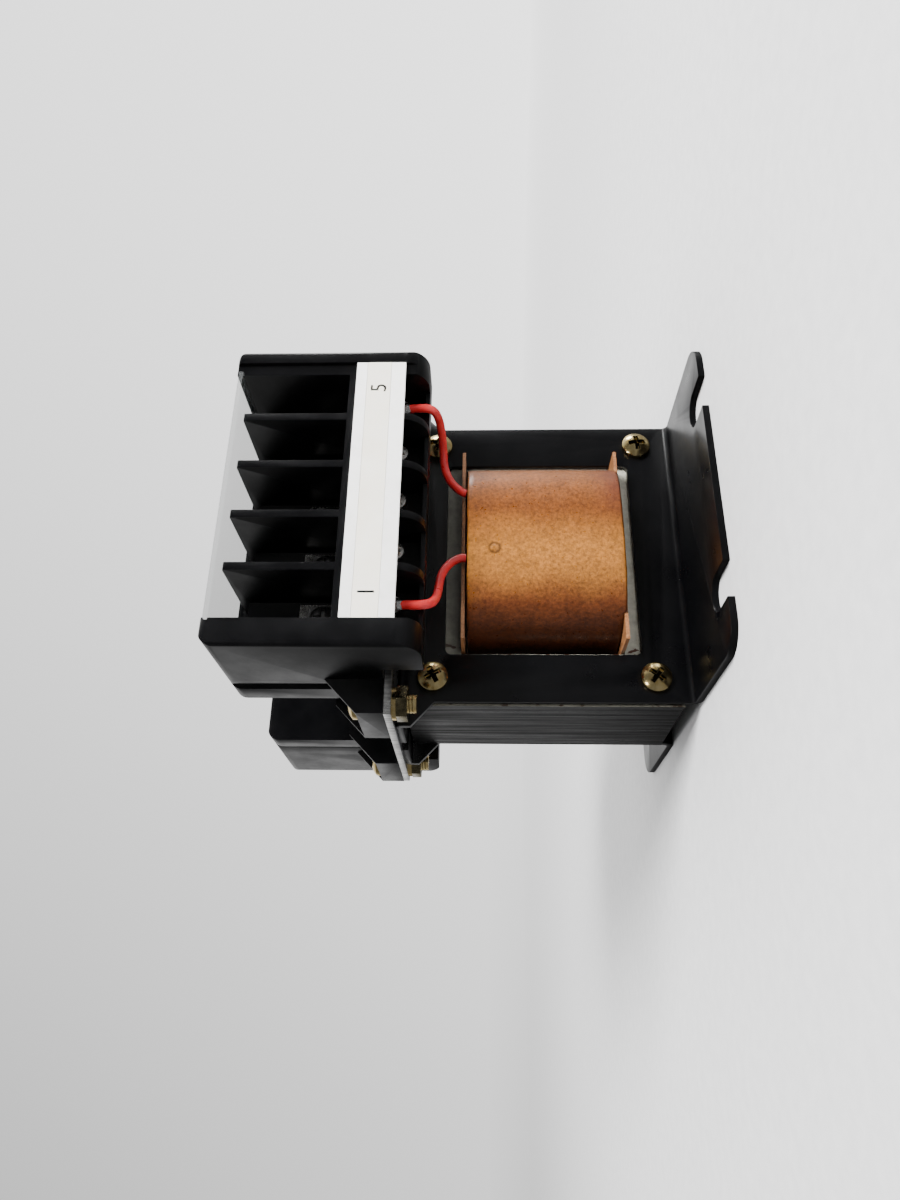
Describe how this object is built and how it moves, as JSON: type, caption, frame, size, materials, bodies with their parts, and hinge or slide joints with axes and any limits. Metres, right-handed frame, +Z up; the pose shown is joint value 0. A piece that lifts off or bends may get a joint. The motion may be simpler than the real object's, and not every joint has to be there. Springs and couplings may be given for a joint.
{
  "type": "laminated chassis transformer",
  "caption": "Laminated-core chassis transformer with a paper-wrapped coil, bent steel mounting feet with open slots, and covered screw terminal blocks on a plate over the core.",
  "frame": {"origin": "On the mounting face (the undersides of both feet), midway between the feet and on the middle plane of the core.", "axes": "+Z up from the mounting face through the core to the terminal blocks; -Y is the front side, with the first terminal at +X; +Y is the rear side with the second terminal block."},
  "size_m": [0.089, 0.1, 0.1058],
  "materials": {
    "core": "black varnish over fine steel sheets, satin",
    "bracket": "black baked enamel, semi-gloss",
    "zinc_plate": "bright zinc, sheared edges",
    "pressboard": "varnished pressboard",
    "copper": "enamelled copper wire",
    "insulation_paper": "matt",
    "varnished_wrap": "varnished kraft paper, semi-gloss",
    "yellow_zinc": "yellow chromated zinc",
    "block": "moulded, gloss",
    "tinned_brass": "tinned, bright",
    "grey_steel": "plated steel, satin",
    "marker_white": "smooth, satin",
    "label_paper": "matt",
    "clear_cover": "clear sheet, gloss",
    "lead_red": "extruded, gloss"
  },
  "bodies": {
    "root": {"e_laminations": "core", "i_laminations": "core", "front_bracket": "bracket", "rear_bracket": "bracket", "terminal_plate": "zinc_plate", "winding_tube": "pressboard", "upper_end_board": "pressboard", "lower_end_board": "pressboard", "primary_winding": "copper", "winding_insulation": "insulation_paper", "secondary_winding": "copper", "coil_wrap": "varnished_wrap", "core_screws": "yellow_zinc", "core_spring_washers": "yellow_zinc", "core_nuts": "yellow_zinc", "front_terminal_block": "block", "rear_terminal_block": "block", "front_terminals": "tinned_brass", "rear_terminals": "tinned_brass", "front_terminal_screws": "grey_steel", "rear_terminal_screws": "grey_steel", "front_square_washers": "grey_steel", "rear_square_washers": "grey_steel", "front_marker_strip": "marker_white", "rear_marker_strip": "marker_white", "front_marker_label": "label_paper", "rear_marker_label": "label_paper", "front_cover": "clear_cover", "rear_cover": "clear_cover", "block_screws": "yellow_zinc", "block_spring_washers": "yellow_zinc", "block_nuts": "yellow_zinc", "front_lead_first": "lead_red", "front_lead_last": "lead_red", "rear_lead_first": "lead_red", "rear_lead_last": "lead_red"}
  },
  "joints": []
}
